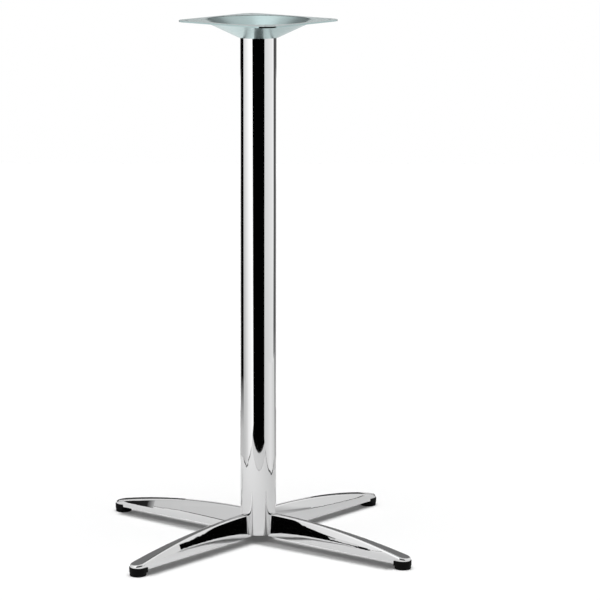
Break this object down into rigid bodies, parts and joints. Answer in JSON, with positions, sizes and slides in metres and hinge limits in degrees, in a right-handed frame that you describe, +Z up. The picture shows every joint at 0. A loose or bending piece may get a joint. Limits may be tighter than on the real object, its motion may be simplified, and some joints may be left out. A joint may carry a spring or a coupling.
{
  "type": "high table base",
  "caption": "High table base: round chromed column on pressed chromed arms with black moulded feet, under a square zinc-plated top plate with a deep conical dish.",
  "frame": {"origin": "on the floor, on the column's axis", "axes": "+Z up along the column; the arms lie along +X, +Y, -X and -Y, and the top plate's sides are square to them"},
  "size_m": [0.8016, 0.8016, 1.1],
  "materials": {
    "chrome": "bright mirror chrome plate on drawn tube and pressed sheet",
    "zinc_plate": "bright zinc plate, pale blue-grey, soft sheen",
    "bolt_steel": "zinc-plated fasteners",
    "bare_steel": "bare mild steel, welded in",
    "black_plastic": "black moulded polypropylene, low sheen"
  },
  "bodies": {
    "root": {"top_plate": "zinc_plate", "plate_bolt": "bolt_steel", "plate_washer": "bolt_steel", "column_cap": "bare_steel", "column_nut": "bare_steel", "column_tube": "chrome", "arm_right": "chrome", "arm_back": "chrome", "arm_left": "chrome", "arm_front": "chrome", "arm_block_right": "bare_steel", "arm_block_back": "bare_steel", "arm_block_left": "bare_steel", "arm_block_front": "bare_steel", "arm_straps": "bare_steel", "arm_bolts": "bolt_steel", "foot_cap_right": "black_plastic", "foot_cap_back": "black_plastic", "foot_cap_left": "black_plastic", "foot_cap_front": "black_plastic"}
  },
  "joints": []
}
